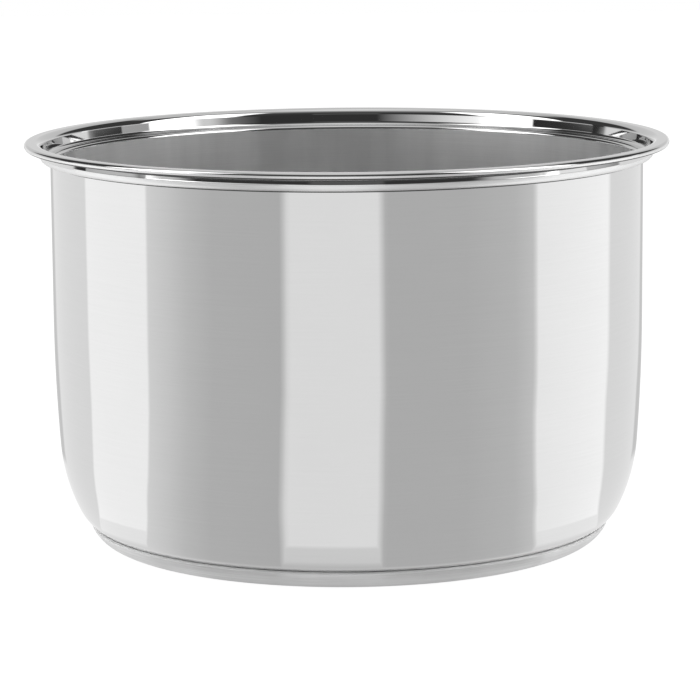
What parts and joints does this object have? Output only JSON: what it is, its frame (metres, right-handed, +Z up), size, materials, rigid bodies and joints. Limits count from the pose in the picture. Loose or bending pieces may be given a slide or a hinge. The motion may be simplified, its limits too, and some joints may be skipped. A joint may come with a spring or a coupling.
{
  "type": "soup kettle pot",
  "caption": "Open round stainless pot insert with a stepped rim, rolled lip, rounded lower corner and capsule heat-spreading base.",
  "frame": {"origin": "centre of the flat underside of the base", "axes": "+Z up along the axis of the pot; X and Y are any two square directions across it"},
  "size_m": [0.241, 0.241, 0.1515],
  "materials": {
    "polished_steel": "mirror polished outside, satin inside",
    "satin_steel": "satin, brushed round the axis",
    "core_aluminium": "mill finish",
    "braze_alloy": "dull"
  },
  "bodies": {
    "root": {"pot_shell": "polished_steel", "base_cap": "satin_steel", "core_disc": "core_aluminium", "upper_braze_layer": "braze_alloy", "lower_braze_layer": "braze_alloy"}
  },
  "joints": []
}
